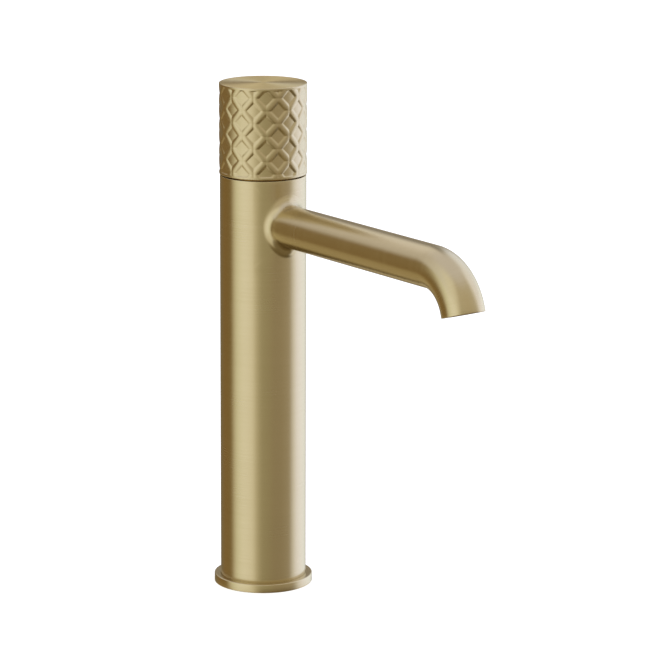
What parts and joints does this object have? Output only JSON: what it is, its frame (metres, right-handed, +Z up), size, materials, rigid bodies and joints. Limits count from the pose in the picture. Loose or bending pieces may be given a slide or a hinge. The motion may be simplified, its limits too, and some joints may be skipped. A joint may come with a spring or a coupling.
{
  "type": "basin mixer tap",
  "caption": "Tall basin mixer: straight round column on a flange, slim bent spout, and a diamond-knurled rotary handle on top, in brushed gold.",
  "frame": {"origin": "centre of the base flange's underside, on the counter", "axes": "+Z up along the column; the spout points towards -Y; +X is the user's right"},
  "size_m": [0.0576, 0.2255, 0.297],
  "materials": {
    "brushed_gold": "fine brushed champagne gold",
    "gold_plastic": "satin gold-coloured plastic",
    "raw_brass": "turned, unplated",
    "copper": null,
    "seal_rubber": "moulded",
    "white_acetal": "moulded",
    "dark_plastic": "moulded",
    "disc_ceramic": "lapped",
    "steel": "stainless"
  },
  "bodies": {
    "tap": {"column_body": "brushed_gold", "base_flange": "brushed_gold", "base_seal": "seal_rubber", "base_plug": "raw_brass", "riser_tube_cold": "copper", "riser_tube_hot": "copper", "valve_housing": "raw_brass", "housing_seal_lower": "seal_rubber", "housing_seal_upper": "seal_rubber", "glide_ring": "white_acetal", "ring_nut": "raw_brass", "cartridge_base": "dark_plastic", "port_seals": "seal_rubber", "disc_seal": "seal_rubber", "fixed_disc": "disc_ceramic", "cartridge_shell": "white_acetal", "slip_washer": "white_acetal", "spout_tube": "brushed_gold", "outlet_bush": "raw_brass", "aerator_seal": "seal_rubber", "aerator_sleeve": "steel", "flow_disc": "dark_plastic", "jet_grille": "white_acetal"},
    "handle": {"moving_disc": "disc_ceramic", "disc_driver": "dark_plastic", "spindle": "raw_brass", "spindle_seal": "seal_rubber", "handle_sleeve": "brushed_gold", "handle_hub": "raw_brass", "grub_screw": "steel", "screw_cover": "gold_plastic"}
  },
  "joints": [
    {"name": "handle_turn", "type": "hinge", "parent": "tap", "child": "handle", "pos_m": [0, 0, 0.2433], "axis": [0, 0, 1], "range_deg": [0, 100]}
  ]
}
